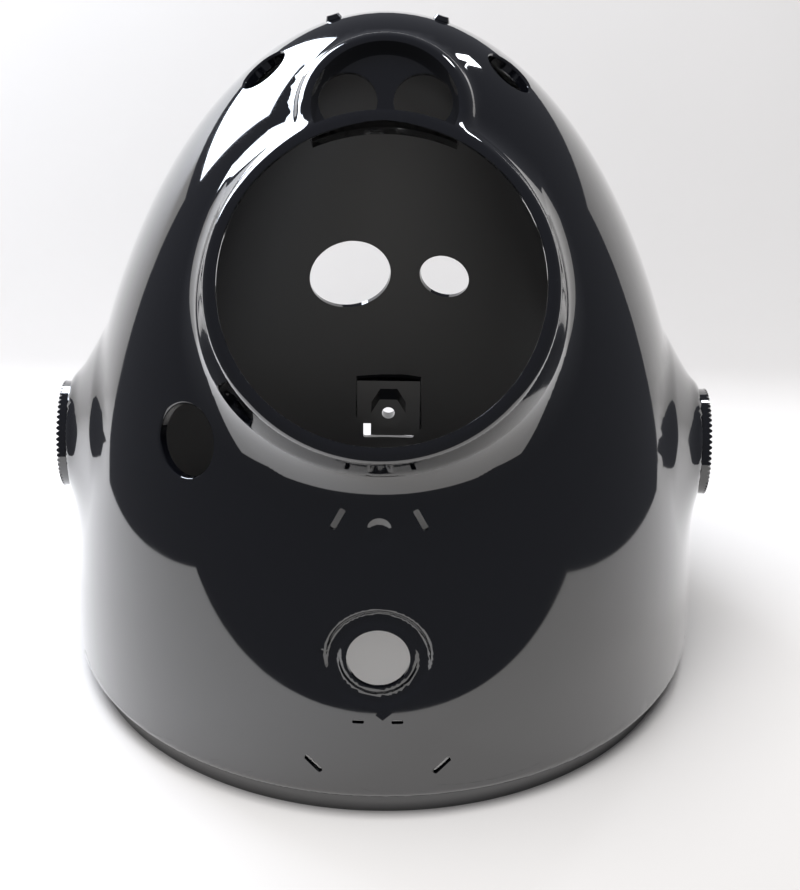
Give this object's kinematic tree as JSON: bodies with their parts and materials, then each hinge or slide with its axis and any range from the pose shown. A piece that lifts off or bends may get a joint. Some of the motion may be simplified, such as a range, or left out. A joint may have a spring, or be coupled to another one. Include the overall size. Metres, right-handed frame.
{
  "type": "headlight bucket",
  "caption": "Deep drawn lamp shell with a raised speedometer collar, cable pocket, switch seat and serrated side bosses, standing on its rim.",
  "frame": {"origin": "on the shell's axis, in the plane of the rim's edge that it stands on", "axes": "+Z from the open rim to the closed end, -Y towards the speedometer side, +X to the right seen from that side"},
  "size_m": [0.1826, 0.18, 0.1866],
  "materials": {
    "black_enamel": "gloss",
    "serrated_disc": "satin",
    "plated_nut": "dull zinc"
  },
  "bodies": {
    "root": {"bucket_shell": "black_enamel", "left_serrated_disc": "serrated_disc", "right_serrated_disc": "serrated_disc", "left_bolt_nut": "plated_nut", "right_bolt_nut": "plated_nut", "rim_catch_bracket": "black_enamel", "rim_catch_nut": "plated_nut", "left_rear_rivet": "black_enamel", "right_rear_rivet": "black_enamel"}
  },
  "joints": []
}
